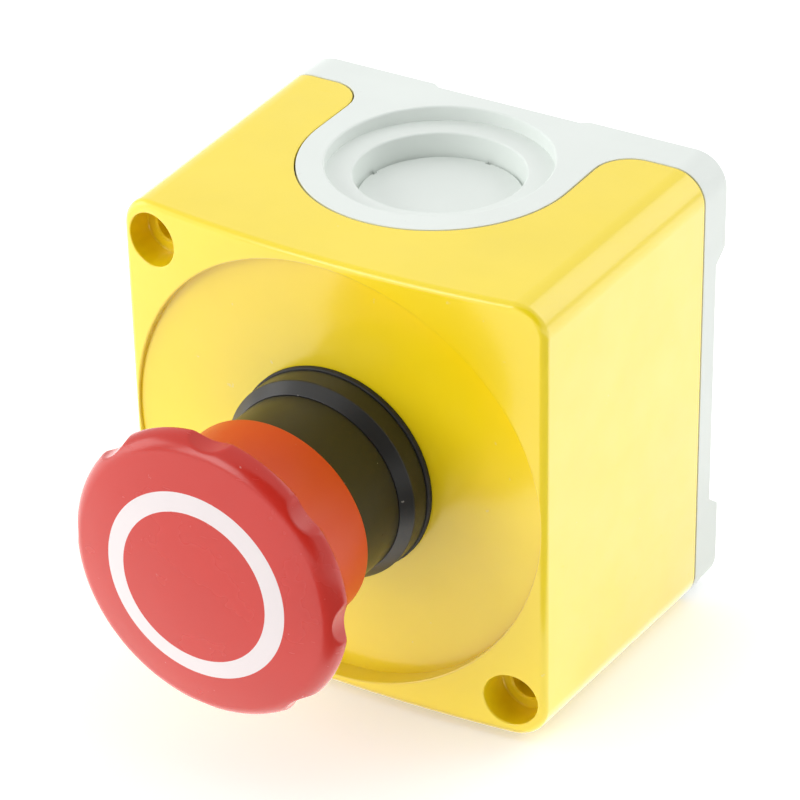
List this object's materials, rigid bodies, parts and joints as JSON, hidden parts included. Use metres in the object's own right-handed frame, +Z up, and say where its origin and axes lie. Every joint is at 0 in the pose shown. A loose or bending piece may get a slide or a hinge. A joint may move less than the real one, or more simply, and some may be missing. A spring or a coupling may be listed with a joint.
{
  "type": "emergency stop push button",
  "caption": "Red mushroom-head emergency stop button that latches when pushed, on a yellow and light grey surface-mounted enclosure with cable entries at top and bottom.",
  "frame": {"origin": "centre of the four wall-fixing holes in the plane of the wall, which is also on the button's axis", "axes": "+Z up; -Y towards the front along the button's axis, so the wall is the plane Y = 0; +X to the right seen from the front"},
  "size_m": [0.0652, 0.079, 0.0664],
  "materials": {
    "grey_housing": "fine-textured light grey moulded plastic",
    "yellow_cover": "satin yellow moulded plastic",
    "black_rubber": "black sealing rubber",
    "screw_steel": "zinc-plated steel",
    "brass": "plain brass",
    "black_plastic": "satin black moulded plastic",
    "dark_grey_plastic": "dark grey moulded plastic",
    "red_cap": "satin red moulded plastic",
    "orange_red_skirt": "smooth orange red moulded plastic",
    "white_print": "white ring let into the cap's face",
    "spring_steel": "bright spring wire",
    "red_block": "dark red moulded plastic",
    "green_block": "green moulded plastic",
    "white_plastic": "natural white plastic",
    "contact_copper": "copper alloy strip"
  },
  "bodies": {
    "enclosure": {"base_shell": "grey_housing", "cover_shell": "yellow_cover", "cover_gasket": "black_rubber", "cover_screws": "screw_steel", "screw_seals": "black_rubber", "screw_inserts": "brass", "front_ring": "black_plastic", "panel_gasket": "black_rubber", "actuator_body": "black_plastic", "lock_washer": "screw_steel", "ring_nut": "dark_grey_plastic", "shaft_seal": "black_rubber", "button_spring": "spring_steel", "latch_spring_left": "spring_steel", "latch_spring_right": "spring_steel", "contact_adapter": "dark_grey_plastic", "nc_housing": "red_block", "nc_spring": "spring_steel", "nc_fixed_contacts": "contact_copper", "nc_terminal_screws": "screw_steel", "nc_wire_clamps": "screw_steel", "no_housing": "green_block", "no_spring": "spring_steel", "no_fixed_contacts": "contact_copper", "no_terminal_screws": "screw_steel", "no_wire_clamps": "screw_steel"},
    "button": {"cap_head": "red_cap", "cap_skirt": "orange_red_skirt", "ring_inlay": "white_print", "push_stem": "dark_grey_plastic"},
    "left_latch": {"latch_pin_left": "screw_steel"},
    "right_latch": {"latch_pin_right": "screw_steel"},
    "nc_contact": {"nc_plunger": "white_plastic", "nc_bridge": "contact_copper"},
    "no_contact": {"no_plunger": "white_plastic", "no_bridge": "contact_copper"}
  },
  "joints": [
    {"name": "button_slide", "type": "slide", "parent": "enclosure", "child": "button", "axis": [0, 1, 0], "range_m": [0, 0.005], "deforming": ["button_spring"]},
    {"name": "left_latch_slide", "type": "slide", "parent": "enclosure", "child": "left_latch", "axis": [1, 0, 0], "range_m": [0, 0.001], "deforming": ["latch_spring_left"]},
    {"name": "right_latch_slide", "type": "slide", "parent": "enclosure", "child": "right_latch", "axis": [-1, 0, 0], "range_m": [0, 0.001], "deforming": ["latch_spring_right"]},
    {"name": "nc_contact_slide", "type": "slide", "parent": "enclosure", "child": "nc_contact", "axis": [0, 1, 0], "range_m": [0, 0.005], "deforming": ["nc_spring"]},
    {"name": "no_contact_slide", "type": "slide", "parent": "enclosure", "child": "no_contact", "axis": [0, 1, 0], "range_m": [0, 0.005], "deforming": ["no_spring"]}
  ],
  "couplings": [
    {"joint": "left_latch_slide", "follows": "button_slide", "ratio": 0.2},
    {"joint": "right_latch_slide", "follows": "button_slide", "ratio": 0.2},
    {"joint": "nc_contact_slide", "follows": "button_slide", "ratio": 1},
    {"joint": "no_contact_slide", "follows": "button_slide", "ratio": 1}
  ]
}
